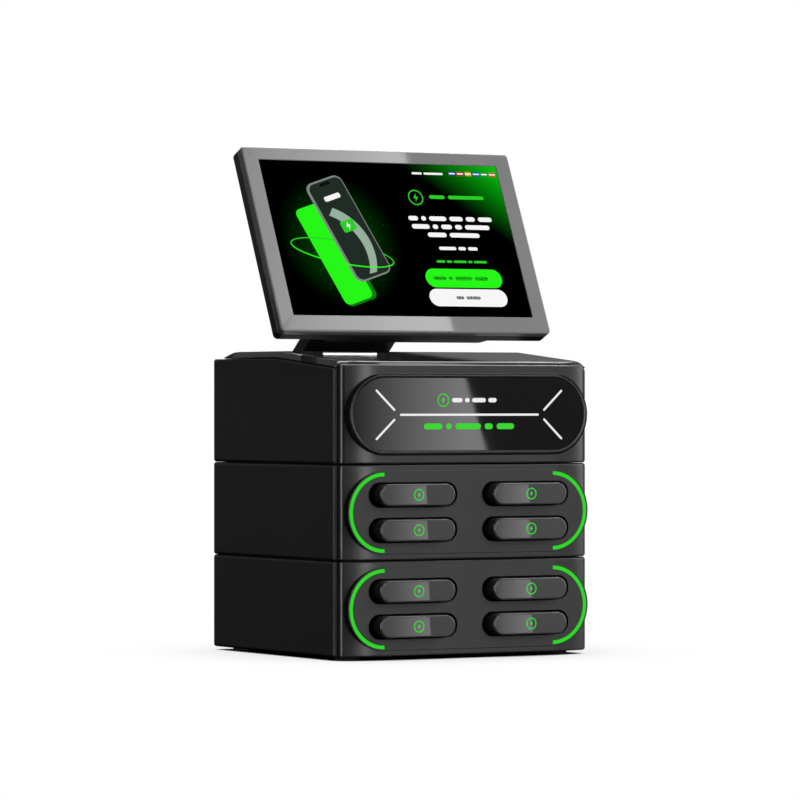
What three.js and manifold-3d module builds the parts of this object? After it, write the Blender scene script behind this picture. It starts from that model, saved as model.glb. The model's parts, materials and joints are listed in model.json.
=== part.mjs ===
// Phone charging kiosk: three stacked modules under a sloped lid, with a tilting display on a leaning neck.
// Millimetres, +Z up, +Y to the rear. The origin is at the middle of the kiosk's footprint, on the floor.
import * as THREE from "three";
import { mergeVertices } from "three/addons/utils/BufferGeometryUtils.js";
import Module from "manifold-3d";

// ---- Driving dimensions -------------------------------------------------------------------------------------
const WIDTH = 228.8;
const DEPTH = 213; // from the flat middle of the front to the rear wall
const BANK_PROUD = 8.9; // how far a power bank stands out of the front
const FOOT_HEIGHT = 2.5;
const FOOT_RADIUS = 9;
const MODULE_HEIGHT = 74;
const GAP = 0.3; // clearance between neighbouring pieces
const WALL = 3;
const FLOOR = 2;
const EDGE = 1.2; // chamfer on the housings' edges
const REAR_CORNER = 8;

const FRONT = -(DEPTH - BANK_PROUD) / 2; // plane of the flat front
const REAR = FRONT + DEPTH;
const HALF = WIDTH / 2;

const FLAT_HALF = 76.3; // the front is flat as far as the pads' arc centres, then curves back
const CURVE_RADIUS = 81.8;
const PANEL_HALF = HALF - 3.5;
const PANEL_SET = 0.4; // how far the curved plate lies behind its raised pad
const PANEL_THICKNESS = 4.2;
const PANEL_EDGE = 3; // rounding of the plate's upright edges
const FLANGE = 2.5;
const LIP = { width: 7.5, depth: 2.4 }; // rim round each housing's mouth
const SHELL_FRONT = FRONT + 12.6; // the housings' front rims
const PAD_RADIUS = 32.2;
const PAD_DEPTH = 10;

const LIGHT_INNER = 28;
const LIGHT_OUTER = 30.7;
const LIGHT_DEPTH = 3;

const SLOT = { x: 50.8, row: 13.6, half: 30, radius: 9.5 }; // half is to the centre of the round end
const BANK = { half: 25.1, radius: 8.5, length: 145 };
const TUNNEL = { half: 25.1, radius: 9.1 };
const CARRIER = { half: 92, height: 48, length: 155 };
const NOTCH = { depth: 3.5, length: 8.6, height: 6.4, y: FRONT + 60 };
const LATCH = { length: 11, width: 7.4, height: 5.2 };

const TOP_Z = FOOT_HEIGHT + 2 * MODULE_HEIGHT; // underside of the control module
const LID = { crease: FRONT + 103, slope: 0.0876, top: 238.3, edge: 232.8, inset: 5, frontCorner: 28, rearCorner: 38, rearFoot: 28, front: 3.2, lean: 0.55 };
const PANEL_TOP = 227.2;
const GLASS = { z: 189, radius: 28.2, rim: 30.3, proud: 0.6, thickness: 2 };

const NECK = { half: 40.3, thickness: 18, base: FRONT + 203.5, opening: { half: 30, low: 252, high: 257.6 } };
const HINGE = { y: FRONT + 143, z: 287, pin: 3, barrel: 8.5, knuckle: 22 };
const TILT = THREE.MathUtils.degToRad(24.8);
const DISPLAY = { y: FRONT + 77.8, z: 253.5, width: 247, height: 162.1, corner: 3.5, bevel: 0.8 };
const SCREEN = { half: 109.7, low: 14.2, high: 150.6 };
const FRAME_DEPTH = 6;
const COVER_DEPTH = 15.8;
const HOUSING = { half: 82, backHalf: 69.5, low: 2.4, high: 118, depth: 9 };

const INLET = { x: 62, z: TOP_Z + 30, half: 14, height: 24, depth: 18 };
const SWITCH = { x: 92, z: TOP_Z + 30, half: 7.5, height: 24, depth: 11, pivot: 5.5, rest: -7 }; // rest is in degrees

const BOARD = { left: -80, right: 10, front: FRONT + 40, back: FRONT + 130, height: 8, thickness: 1.6 };
const SUPPLY = { left: 25, right: 95, front: FRONT + 45, back: FRONT + 150, low: 6, high: 36 };
const MODEM = { left: -50, right: -18, front: FRONT + 60, back: FRONT + 92, low: 10, high: 14 };
const ANTENNA = { left: -104, right: -102.8, front: FRONT + 60, back: FRONT + 120, low: 12, high: 32 };
const DISPLAY_BOARD = { half: 55, front: 16, thickness: 1.6, low: 30, high: 100 };
const BRACKET = { half: 38, reach: 24, plate: 2.5, screwX: 32, screwZ: 19, screwRadius: 3, screwHeight: 2 };

// ---- Materials ----------------------------------------------------------------------------------------------
const finish = (color, roughness, metalness = 0) =>
  new THREE.MeshStandardMaterial({ color, roughness, metalness });
const FINISH = {
  shell: finish(0x1b1b1c, 0.45),
  panel: finish(0x4a4a4b, 0.4),
  lid: finish(0x6b6b6c, 0.2),
  glass: finish(0x0c0c0d, 0.05),
  rim: finish(0x8c8c8e, 0.3, 0.8),
  light: finish(0x2fe62f, 0.4),
  bank: finish(0x2b2b2d, 0.3),
  black: finish(0x111112, 0.6),
  rubber: finish(0x161616, 0.9),
  bezel: finish(0x8a8a8c, 0.35, 0.4),
  metal: finish(0xb5b8bc, 0.3, 0.9),
  board: finish(0x14532a, 0.5),
};

// ---- Solids -------------------------------------------------------------------------------------------------
const wasm = await Module();
wasm.setup();

// A closed geometry as a manifold-3d solid.
function solid(geometry) {
  const bare = geometry.clone();
  Object.keys(bare.attributes)
    .filter((name) => name !== "position")
    .forEach((name) => bare.deleteAttribute(name));
  const merged = mergeVertices(bare, 1e-4);
  return new wasm.Manifold(
    new wasm.Mesh({
      numProp: 3,
      vertProperties: new Float32Array(merged.attributes.position.array),
      triVerts: new Uint32Array(merged.index.array),
    }),
  );
}

// A manifold-3d solid as a geometry.
function geometryOf(body) {
  const mesh = body.getMesh();
  return new THREE.BufferGeometry()
    .setAttribute("position", new THREE.BufferAttribute(new Float32Array(mesh.vertProperties), 3))
    .setIndex(new THREE.BufferAttribute(new Uint32Array(mesh.triVerts), 1));
}

const join = (first, ...others) =>
  geometryOf(others.reduce((body, other) => body.add(solid(other)), solid(first)));
const cut = (first, ...others) =>
  geometryOf(others.reduce((body, other) => body.subtract(solid(other)), solid(first)));

// Arc points from angle a to b (degrees) in steps, as [u, v] pairs.
function arc(u, v, radius, a, b, steps) {
  return Array.from({ length: steps + 1 }, (_, i) => {
    const angle = THREE.MathUtils.degToRad(a + ((b - a) * i) / steps);
    return [u + radius * Math.cos(angle), v + radius * Math.sin(angle)];
  });
}

// Right half of a rounded rectangle, from its low side to its high side.
const halfRect = (half, low, high, lowCorner, highCorner, steps = 3) => [
  ...arc(half - lowCorner, low + lowCorner, lowCorner, -90, 0, steps),
  ...arc(half - highCorner, high - highCorner, highCorner, 0, 90, steps),
];

// Right half of a stadium about a centre height v.
const halfStadium = (half, radius, v, steps = 8) => arc(half, v, radius, -90, 90, steps);

// A solid that is the same on its left and right sides, through levels of matching half outlines.
// axis "z" puts the outlines in plan and levels along Z; axis "y" puts them upright and levels along Y.
// A level's place is a number, or a function of the outline's second coordinate.
function loft(axis, levels) {
  const count = levels[0].half.length;
  const ring = 2 * count;
  const position = [];
  for (const { half, at } of levels) {
    const mirrored = half.map(([u, v]) => [-u, v]).reverse();
    for (const [u, v] of [...half, ...mirrored]) {
      const w = typeof at === "function" ? at(v) : at;
      position.push(u, axis === "z" ? v : w, axis === "z" ? w : v);
    }
  }
  const index = [];
  for (let level = 0; level + 1 < levels.length; level++) {
    for (let i = 0; i < ring; i++) {
      const a = level * ring + i;
      const b = level * ring + ((i + 1) % ring);
      index.push(a, b, b + ring, a, b + ring, a + ring);
    }
  }
  const top = (levels.length - 1) * ring;
  for (let i = 0; i + 1 < count; i++) {
    const j = ring - 1 - i;
    index.push(i, j - 1, i + 1, i, j, j - 1);
    index.push(top + i, top + i + 1, top + j - 1, top + i, top + j - 1, top + j);
  }
  if (axis === "y") index.reverse();
  return new THREE.BufferGeometry()
    .setAttribute("position", new THREE.Float32BufferAttribute(position, 3))
    .setIndex(index);
}

// A box between two corners.
const box = ([x0, y0, z0], [x1, y1, z1]) =>
  new THREE.BoxGeometry(x1 - x0, y1 - y0, z1 - z0).translate((x0 + x1) / 2, (y0 + y1) / 2, (z0 + z1) / 2);

// A cylinder along X, Y or Z about a centre.
function rod(axis, radius, length, [x, y, z], sides = 16) {
  const geometry = new THREE.CylinderGeometry(radius, radius, length, sides);
  if (axis === "x") geometry.rotateZ(Math.PI / 2);
  if (axis === "z") geometry.rotateX(Math.PI / 2);
  return geometry.translate(x, y, z);
}

// An outline of [a, b] points extruded: along Z in plan (x, y), along Y upright (x, z) or along X sideways (y, z).
function extrude(axis, outline, low, high) {
  const shape = new THREE.Shape(outline.map(([a, b]) => new THREE.Vector2(a, b)));
  const geometry = new THREE.ExtrudeGeometry(shape, { depth: high - low, bevelEnabled: false });
  geometry.translate(0, 0, low);
  if (axis === "y") geometry.rotateX(Math.PI / 2).scale(1, -1, 1);
  if (axis === "x") geometry.applyMatrix4(new THREE.Matrix4().set(0, 0, 1, 0, 1, 0, 0, 0, 0, 1, 0, 0, 0, 0, 0, 1));
  if (axis === "y") geometry.setIndex([...Array(geometry.attributes.position.count).keys()].reverse());
  return geometry;
}

const kiosk = new THREE.Group();

function add(name, geometry, material, parent = kiosk) {
  const mesh = new THREE.Mesh(geometry, material.clone());
  mesh.name = name;
  parent.add(mesh);
  return mesh;
}

// ---- Front panels -------------------------------------------------------------------------------------------
// How far the front has curved back at a distance x from the middle.
function recede(x) {
  const past = Math.max(0, Math.abs(x) - FLAT_HALF);
  return CURVE_RADIUS - Math.sqrt(CURVE_RADIUS ** 2 - past ** 2);
}

// Points along the curved front from one side to the other, offset back by some depth, with rounded ends.
function frontCurve(offset, half, edge = 0) {
  const steps = 4;
  const right = Array.from({ length: steps + 1 }, (_, i) => {
    const x = FLAT_HALF + ((half - edge - FLAT_HALF) * i) / steps;
    return [x, FRONT + offset + recede(x)];
  });
  const end = FRONT + offset + recede(half);
  if (edge)
    for (const t of [0.3, 0.7, 1])
      right.push([half - edge + edge * Math.sin((t * Math.PI) / 2), end + edge * (1 - Math.cos((t * Math.PI) / 2))]);
  return [...right.map(([x, y]) => [-x, y]).reverse(), ...right];
}

// The curved plate of a front panel between two heights, with a raised pad of a given radius.
function panelPlate(low, high, padZ, padRadius) {
  const face = frontCurve(PANEL_SET, PANEL_HALF, PANEL_EDGE);
  const inside = frontCurve(PANEL_THICKNESS + PANEL_SET, PANEL_HALF).reverse();
  const back = inside[0][1];
  const plate = extrude("z", [...face, ...inside], low, high);
  const flanges = [
    [low, low + FLANGE],
    [high - FLANGE, high],
  ].map(([from, to]) => extrude("z", [...face, [PANEL_HALF, back], [-PANEL_HALF, back]], from, to));
  const pad = loft("y", [
    { half: halfStadium(FLAT_HALF, padRadius, padZ, 16), at: FRONT },
    { half: halfStadium(FLAT_HALF, padRadius, padZ, 16), at: FRONT + PAD_DEPTH },
  ]);
  return join(plate, ...flanges, pad);
}

// A half ring about a pad's arc centre, on the side given by sign.
function halfRing(sign, z, inner, outer, front, back) {
  const steps = 16;
  const outline = [
    ...arc(FLAT_HALF, z, outer, -90, 90, steps),
    ...arc(FLAT_HALF, z, inner, 90, -90, steps),
  ].map(([x, v]) => [sign * x, v]);
  return extrude("y", sign > 0 ? outline : outline.reverse(), front, back);
}

// ---- Housings -----------------------------------------------------------------------------------------------
// Plan outline of a housing, inset all round.
const planHalf = (inset) =>
  halfRect(HALF - inset, SHELL_FRONT + inset, REAR - inset, 1.5, REAR_CORNER - inset, 4);

// A slot through a housing's roof and the next one's floor, for the stacking connector.
const STACK = { half: 25, y: REAR - 26, width: 14 };
const stackHole = (z) =>
  box([-STACK.half, STACK.y - STACK.width / 2, z - 5], [STACK.half, STACK.y + STACK.width / 2, z + 5]);

// A hollow housing that is open at the front.
function housing(low, high, topProfile) {
  const outer = loft("z", [
    { half: planHalf(EDGE), at: low },
    { half: planHalf(0), at: low + EDGE },
    { half: planHalf(0), at: topProfile ? (y) => topProfile(y) - EDGE : high - EDGE },
    { half: planHalf(EDGE), at: topProfile ?? high },
  ]);
  const inner = box(
    [-(HALF - WALL), SHELL_FRONT + LIP.depth, low + FLOOR],
    [HALF - WALL, REAR - WALL, high - FLOOR],
  );
  const mouth = box(
    [-(HALF - LIP.width), FRONT, low + LIP.width],
    [HALF - LIP.width, REAR - 50, high - LIP.width],
  );
  return cut(outer, inner, mouth);
}

// ---- A battery module ---------------------------------------------------------------------------------------
function batteryModule(name, low, firstNumber, openFloor) {
  const high = low + MODULE_HEIGHT;
  const middle = (low + high) / 2;
  const slots = [
    [-1, 1],
    [1, 1],
    [-1, -1],
    [1, -1],
  ].map(([side, row]) => ({ side, x: side * SLOT.x, z: middle + row * SLOT.row }));
  const shifted = (geometry, x) => geometry.translate(x, 0, 0);

  const floorHoles = openFloor ? [stackHole(low)] : [];
  add(
    name + "_shell",
    cut(housing(low + GAP / 2, high - GAP / 2), stackHole(high), ...floorHoles),
    FINISH.shell,
  );

  const openings = slots.map(({ x, z }) =>
    shifted(
      loft("y", [
        { half: halfStadium(SLOT.half, SLOT.radius, z), at: FRONT - 1 },
        { half: halfStadium(SLOT.half, SLOT.radius, z), at: FRONT + PAD_DEPTH + 1 },
      ]),
      x,
    ),
  );
  const grooves = [-1, 1].map((sign) =>
    halfRing(sign, middle, LIGHT_INNER - GAP, LIGHT_OUTER + GAP, FRONT - 1, FRONT + LIGHT_DEPTH + GAP),
  );
  add(
    name + "_front_panel",
    cut(panelPlate(low + 0.5, high - 0.5, middle, PAD_RADIUS), ...openings, ...grooves),
    FINISH.panel,
  );
  for (const [side, sign] of [
    ["left", -1],
    ["right", 1],
  ]) {
    const strip = halfRing(sign, middle, LIGHT_INNER, LIGHT_OUTER, FRONT, FRONT + LIGHT_DEPTH);
    add(name + "_light_" + side, strip, FINISH.light);
  }

  // Slot carrier: one moulding with four tunnels and a pocket in the outer wall for each latch bolt.
  const carrierFront = FRONT + PAD_DEPTH + GAP + 0.1;
  const carrierBack = carrierFront + CARRIER.length;
  const tunnels = slots.map(({ x, z }) =>
    shifted(
      loft("y", [
        { half: halfStadium(TUNNEL.half, TUNNEL.radius, z, 6), at: carrierFront - 1 },
        { half: halfStadium(TUNNEL.half, TUNNEL.radius, z, 6), at: carrierBack + 1 },
      ]),
      x,
    ),
  );
  const pockets = slots.map(({ side, z }) => {
    const near = Math.min(side * (SLOT.x + 20), side * (CARRIER.half + 1));
    const far = Math.max(side * (SLOT.x + 20), side * (CARRIER.half + 1));
    const wide = LATCH.width / 2 + GAP;
    const tall = LATCH.height / 2 + GAP;
    return box([near, NOTCH.y - wide, z - tall], [far, NOTCH.y + wide, z + tall]);
  });
  add(
    name + "_slot_carrier",
    cut(
      box(
        [-CARRIER.half, carrierFront, middle - CARRIER.height / 2],
        [CARRIER.half, carrierBack, middle + CARRIER.height / 2],
      ),
      ...tunnels,
      ...pockets,
    ),
    FINISH.black,
  );

  // Contact board: a circuit board with a sprung contact block that reaches into each tunnel.
  const boardFront = carrierBack + 1;
  const reach = boardFront - (FRONT - BANK_PROUD + BANK.length) - 2;
  const blocks = slots.map(({ x, z }) =>
    box([x - 14, boardFront - reach, z - 5], [x + 14, boardFront + 0.5, z + 5]),
  );
  add(
    name + "_contact_board",
    join(box([-95, boardFront, middle - 29], [95, boardFront + 1.6, middle + 29]), ...blocks),
    FINISH.board,
  );

  slots.forEach(({ side, x, z }, i) => {
    const number = firstNumber + i;
    const nose = FRONT - BANK_PROUD;
    const body = loft("y", [
      { half: halfStadium(BANK.half, BANK.radius - 1.2, z), at: nose },
      { half: halfStadium(BANK.half, BANK.radius - 0.3, z), at: nose + 0.5 },
      { half: halfStadium(BANK.half, BANK.radius, z), at: nose + 1.5 },
      { half: halfStadium(BANK.half, BANK.radius, z), at: nose + BANK.length },
    ]);
    const flank = SLOT.x + BANK.half + BANK.radius;
    const notchEnds = [side * (flank - NOTCH.depth), side * (flank + 1)].sort((a, b) => a - b);
    const notch = box(
      [notchEnds[0], NOTCH.y - NOTCH.length / 2, z - NOTCH.height / 2],
      [notchEnds[1], NOTCH.y + NOTCH.length / 2, z + NOTCH.height / 2],
    );
    add("power_bank_" + number, cut(shifted(body, x), notch), FINISH.bank);

    const tip = flank + GAP;
    const ends = [side * tip, side * (tip + LATCH.length)].sort((a, b) => a - b);
    add(
      "latch_bolt_" + number,
      box(
        [ends[0], NOTCH.y - LATCH.width / 2, z - LATCH.height / 2],
        [ends[1], NOTCH.y + LATCH.width / 2, z + LATCH.height / 2],
      ),
      FINISH.metal,
    );
  });
}

// ---- The control module -------------------------------------------------------------------------------------
const lidTop = (y) => LID.top - LID.slope * Math.max(0, LID.crease - y);
const shellTop = (y) => LID.edge - LID.slope * Math.max(0, LID.crease - y);

// Plan outline of the lid's right side with a point on the crease.
function lidHalf(inset, frontCorner, rearCorner) {
  const half = HALF - inset;
  const shoulder = half - frontCorner;
  const front = (x) => FRONT + LID.front + inset * LID.lean + recede(x) * 0.9;
  const curved = [0, 0.35, 0.7, 1].map((t) => {
    const x = FLAT_HALF + (Math.max(shoulder, FLAT_HALF + 1) - FLAT_HALF) * t;
    return [x, front(x)];
  });
  const start = curved[3];
  const side = start[1] + frontCorner;
  const corner = [30, 60, 90].map((degrees) => {
    const angle = THREE.MathUtils.degToRad(degrees);
    return [
      start[0] + (half - start[0]) * Math.sin(angle),
      side - (side - start[1]) * Math.cos(angle),
    ];
  });
  return [...curved, ...corner, [half, LID.crease], ...arc(half - rearCorner, REAR - inset - rearCorner, rearCorner, 0, 90, 4)];
}

function controlModule() {
  const low = TOP_Z + GAP / 2;
  const raised = housing(low, LID.edge - 8, shellTop);
  add("control_shell", cut(raised, stackHole(TOP_Z), ...rearCutouts()), FINISH.shell);

  const pocket = loft("y", [
    { half: halfStadium(FLAT_HALF, GLASS.rim + GAP, GLASS.z, 16), at: FRONT - 1 },
    { half: halfStadium(FLAT_HALF, GLASS.rim + GAP, GLASS.z, 16), at: FRONT + GLASS.thickness + GAP },
  ]);
  add(
    "control_front_panel",
    cut(panelPlate(low + 0.35, PANEL_TOP, GLASS.z, GLASS.rim + 1.4), pocket),
    FINISH.panel,
  );
  const rimRing = (radius, back) =>
    loft("y", [
      { half: halfStadium(FLAT_HALF, radius, GLASS.z, 16), at: back ? FRONT - 5 : FRONT - GLASS.proud },
      { half: halfStadium(FLAT_HALF, radius, GLASS.z, 16), at: FRONT + (back ? 5 : GLASS.thickness) },
    ]);
  add("glass_rim", cut(rimRing(GLASS.rim, false), rimRing(GLASS.radius + GAP, true)), FINISH.rim);
  add(
    "status_glass",
    loft("y", [
      { half: halfStadium(FLAT_HALF, GLASS.radius - 0.4, GLASS.z, 16), at: FRONT - 0.2 },
      { half: halfStadium(FLAT_HALF, GLASS.radius, GLASS.z, 16), at: FRONT + 0.2 },
      { half: halfStadium(FLAT_HALF, GLASS.radius, GLASS.z, 16), at: FRONT + GLASS.thickness },
    ]),
    FINISH.glass,
  );

  // Lid: a plate that follows the shell's edge, with a wide bevel up to its top face.
  const rim = (y) => shellTop(y) + GAP;
  const plate = loft("z", [
    { half: lidHalf(EDGE, 2, LID.rearFoot), at: rim },
    { half: lidHalf(0.4, 2, LID.rearFoot), at: (y) => rim(y) + 0.6 },
    { half: lidHalf(LID.inset, LID.frontCorner, LID.rearCorner), at: lidTop },
  ]);
  const lipRelief = box([-(PANEL_HALF + 1), FRONT - 5, 200], [PANEL_HALF + 1, FRONT + 13, PANEL_TOP + GAP]);
  add("lid", cut(plate, lipRelief), FINISH.lid);

  const block = (part, from, to) => box([part.left, part.front, low + from], [part.right, part.back, low + to]);
  add("main_board", block(BOARD, BOARD.height, BOARD.height + BOARD.thickness), FINISH.board);
  add("power_supply", block(SUPPLY, SUPPLY.low, SUPPLY.high), FINISH.metal);
  add("cellular_module", block(MODEM, MODEM.low, MODEM.high), FINISH.metal);
  add("antenna", block(ANTENNA, ANTENNA.low, ANTENNA.high), FINISH.black);
  add("main_board_posts", boardPosts(low), FINISH.metal);
}

// Tray under the main board: a thin plate with four standoffs.
function boardPosts(low) {
  const base = low + FLOOR + GAP;
  const posts = [BOARD.left + 5, BOARD.right - 5].flatMap((x) =>
    [BOARD.front + 5, BOARD.back - 5].map((y) => rod("z", 3, 4.6, [x, y, base + 3.1], 8)),
  );
  return join(box([BOARD.left, BOARD.front, base], [BOARD.right, BOARD.back, base + 1]), ...posts);
}

// Openings in the rear wall: vent slots, inlet and switch.
function rearCutouts() {
  const vents = Array.from({ length: 9 }, (_, i) => {
    const x = -70 + i * 9;
    return box([x - 1.6, REAR - 10, TOP_Z + 22], [x + 1.6, REAR + 5, TOP_Z + 52]);
  });
  return [...vents, ...[INLET, SWITCH].map((part) => flange(part, GAP, REAR - 10, REAR + 5))];
}

const flange = ({ x, z, half, height }, grow, front, back) =>
  box([x - half - grow, front, z - height / 2 - grow], [x + half + grow, back, z + height / 2 + grow]);

// Mains inlet: a flush socket with three flat pins.
function powerInlet() {
  const back = REAR - 0.3;
  const body = flange(INLET, 0, back - INLET.depth, back);
  const mouth = box([INLET.x - 12, back - 15.5, INLET.z - 8], [INLET.x + 12, back + 1, INLET.z + 8]);
  const pins = [
    [-7, -2],
    [7, -2],
    [0, 2.5],
  ].map(([x, z]) =>
    box([INLET.x + x - 1, back - 16.5, INLET.z + z - 2], [INLET.x + x + 1, back - 3, INLET.z + z + 2]),
  );
  add("power_inlet", join(cut(body, mouth), ...pins), FINISH.black);
}

// Rocker switch: a flush frame and a two-faced rocker on a cross pin.
function powerSwitch() {
  const back = REAR - 0.3;
  const body = flange(SWITCH, 0, back - SWITCH.depth, back);
  const well = box([SWITCH.x - 5.6, back - 9, SWITCH.z - 10], [SWITCH.x + 5.6, back + 1, SWITCH.z + 10]);
  add("switch_frame", cut(body, well), FINISH.black);
  const pivot = back - SWITCH.pivot;
  const outline = [
    [-2.6, -4],
    [-2.6, 4],
    [2.2, 8.6],
    [4.6, 8.6],
    [2.4, 0],
    [4.6, -8.6],
    [2.2, -8.6],
  ];
  const rocker = extrude("x", outline.reverse(), -5, 5);
  rocker.rotateX(THREE.MathUtils.degToRad(SWITCH.rest));
  add("switch_rocker", rocker.translate(SWITCH.x, pivot, SWITCH.z), FINISH.black);
}

// ---- Stand and display --------------------------------------------------------------------------------------
function stand() {
  const bottom = LID.top + GAP;
  const lean = (HINGE.y - NECK.base) / (HINGE.z - bottom);
  const front = (z) => NECK.base - NECK.thickness / 2 + lean * (z - bottom);
  const back = (z) => front(z) + NECK.thickness;
  const top = HINGE.z - 4;
  const leaning = (low, high) => [
    [front(low), low],
    [back(low), low],
    [back(high), high],
    [front(high), high],
  ];
  const column = extrude("x", leaning(bottom, top), -NECK.half, NECK.half);
  const opening = box(
    [-NECK.opening.half, NECK.base - 60, NECK.opening.low],
    [NECK.opening.half, NECK.base + 40, NECK.opening.high],
  );
  const barrel = rod("x", HINGE.barrel, 2 * NECK.half, [0, HINGE.y, HINGE.z], 20);
  const middle = rod("x", HINGE.barrel + 1.5, 2 * HINGE.knuckle + 2 * GAP, [0, HINGE.y, HINGE.z], 20);
  const bore = rod("x", HINGE.pin + 0.1, 2 * NECK.half + 10, [0, HINGE.y, HINGE.z], 16);
  add("stand_neck", cut(join(column, barrel), opening, middle, bore), FINISH.shell);
  add("hinge_pin", rod("x", HINGE.pin, 2 * NECK.half - 1, [0, HINGE.y, HINGE.z], 16), FINISH.metal);
}

// Half outline of the display's face, inset all round.
const faceHalf = (inset) =>
  halfRect(DISPLAY.width / 2 - inset, inset, DISPLAY.height - inset, DISPLAY.corner - inset / 2, DISPLAY.corner - inset / 2);

function display() {
  const head = new THREE.Group();
  head.position.set(0, DISPLAY.y, DISPLAY.z);
  head.rotation.x = -TILT;
  kiosk.add(head);

  const opening = (grow, front, back) =>
    box([-SCREEN.half - grow, front, SCREEN.low - grow], [SCREEN.half + grow, back, SCREEN.high + grow]);
  const slab = loft("y", [
    { half: faceHalf(DISPLAY.bevel), at: 0 },
    { half: faceHalf(0), at: DISPLAY.bevel },
    { half: faceHalf(0), at: FRAME_DEPTH },
  ]);
  add("display_frame", cut(slab, opening(0, -1, 3), opening(4, 2, FRAME_DEPTH + 1)), FINISH.bezel, head);
  add("display_glass", opening(-GAP, 0.4, 1.6), FINISH.glass, head);
  add("lcd_panel", opening(3.6, 2.3, FRAME_DEPTH + 2), FINISH.black, head);

  const tub = loft("y", [
    { half: faceHalf(0), at: FRAME_DEPTH + GAP },
    { half: faceHalf(0), at: COVER_DEPTH - 3 },
    { half: faceHalf(3), at: COVER_DEPTH },
  ]);
  const bulge = extrude(
    "z",
    [
      [-HOUSING.half, COVER_DEPTH - 2],
      [HOUSING.half, COVER_DEPTH - 2],
      [HOUSING.backHalf, COVER_DEPTH + HOUSING.depth],
      [-HOUSING.backHalf, COVER_DEPTH + HOUSING.depth],
    ],
    HOUSING.low,
    HOUSING.high,
  );
  const hollow = box(
    [-DISPLAY.width / 2 + 2.5, FRAME_DEPTH - 1, 2.5],
    [DISPLAY.width / 2 - 2.5, COVER_DEPTH - 4, DISPLAY.height - 2.5],
  );
  const deepHollow = box(
    [-HOUSING.backHalf + 3, COVER_DEPTH - 5, HOUSING.low + 3],
    [HOUSING.backHalf - 3, COVER_DEPTH + HOUSING.depth - 2.5, HOUSING.high - 3],
  );
  add("display_back_cover", cut(join(tub, bulge), hollow, deepHollow), FINISH.shell, head);
  add(
    "display_board",
    box(
      [-DISPLAY_BOARD.half, DISPLAY_BOARD.front, DISPLAY_BOARD.low],
      [DISPLAY_BOARD.half, DISPLAY_BOARD.front + DISPLAY_BOARD.thickness, DISPLAY_BOARD.high],
    ),
    FINISH.board,
    head,
  );

  // Tilt bracket: a plate on the back cover with a knuckle round the hinge pin.
  const cover = COVER_DEPTH + HOUSING.depth + GAP;
  const dy = HINGE.y - DISPLAY.y;
  const dz = HINGE.z - DISPLAY.z;
  const hinge = { y: dy * Math.cos(TILT) - dz * Math.sin(TILT), z: dy * Math.sin(TILT) + dz * Math.cos(TILT) };
  const web = box(
    [-HINGE.knuckle, cover + 1, hinge.z - 7],
    [HINGE.knuckle, hinge.y, hinge.z + 7],
  );
  const plate = box(
    [-BRACKET.half, cover, hinge.z - BRACKET.reach],
    [BRACKET.half, cover + BRACKET.plate, hinge.z + BRACKET.reach],
  );
  const knuckle = rod("x", HINGE.barrel, 2 * HINGE.knuckle, [0, hinge.y, hinge.z], 20);
  const bore = rod("x", HINGE.pin + 0.1, 2 * HINGE.knuckle + 4, [0, hinge.y, hinge.z], 16);
  add("tilt_bracket", cut(join(plate, web, knuckle), bore), FINISH.metal, head);
  let number = 1;
  const { screwX, screwZ, screwRadius, screwHeight } = BRACKET;
  const screwY = cover + BRACKET.plate + GAP + screwHeight / 2;
  for (const x of [-screwX, screwX])
    for (const z of [-screwZ, screwZ]) {
      const screw = rod("y", screwRadius, screwHeight, [x, screwY, hinge.z + z], 12);
      add("bracket_screw_" + number++, screw, FINISH.metal, head);
    }
}

// ---- Assembly -----------------------------------------------------------------------------------------------
for (const [side, sign] of [
  ["left", -1],
  ["right", 1],
])
  for (const [end, y] of [
    ["front", FRONT + 26],
    ["rear", REAR - 20],
  ])
    add(
      "foot_" + end + "_" + side,
      rod("z", FOOT_RADIUS, FOOT_HEIGHT - GAP / 2, [sign * (HALF - 20), y, (FOOT_HEIGHT - GAP / 2) / 2], 20),
      FINISH.rubber,
    );

batteryModule("lower", FOOT_HEIGHT, 5, false);
batteryModule("middle", FOOT_HEIGHT + MODULE_HEIGHT, 1, true);
for (const [name, z] of [
  ["lower_stack_connector", FOOT_HEIGHT + MODULE_HEIGHT],
  ["upper_stack_connector", TOP_Z],
])
  add(name, box([-22, STACK.y - 5, z - 9], [22, STACK.y + 5, z + 9]), FINISH.black);
controlModule();
powerInlet();
powerSwitch();
stand();
display();

export default kiosk;
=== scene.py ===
"""Phone charging kiosk: the looks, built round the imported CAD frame. Metres; mesh code works in millimetres."""
import json
import math

import bmesh
import bpy
from mathutils import Matrix, Vector

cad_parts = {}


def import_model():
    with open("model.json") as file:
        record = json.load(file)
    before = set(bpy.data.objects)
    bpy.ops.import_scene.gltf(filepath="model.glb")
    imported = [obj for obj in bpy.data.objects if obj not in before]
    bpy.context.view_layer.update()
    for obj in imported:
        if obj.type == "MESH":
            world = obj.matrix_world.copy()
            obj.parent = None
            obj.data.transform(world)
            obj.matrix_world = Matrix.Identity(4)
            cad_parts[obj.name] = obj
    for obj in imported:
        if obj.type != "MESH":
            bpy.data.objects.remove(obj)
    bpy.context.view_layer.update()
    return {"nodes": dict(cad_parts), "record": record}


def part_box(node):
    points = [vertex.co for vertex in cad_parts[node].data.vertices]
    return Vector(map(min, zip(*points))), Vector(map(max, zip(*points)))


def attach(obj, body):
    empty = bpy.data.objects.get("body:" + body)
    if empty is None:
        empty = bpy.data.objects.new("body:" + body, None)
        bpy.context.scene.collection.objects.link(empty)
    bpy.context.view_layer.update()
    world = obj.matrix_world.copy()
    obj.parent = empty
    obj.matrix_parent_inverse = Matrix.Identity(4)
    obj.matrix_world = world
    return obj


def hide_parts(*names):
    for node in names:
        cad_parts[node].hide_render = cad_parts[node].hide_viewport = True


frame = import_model()
NODES = frame["nodes"]

MM = 0.001


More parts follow.
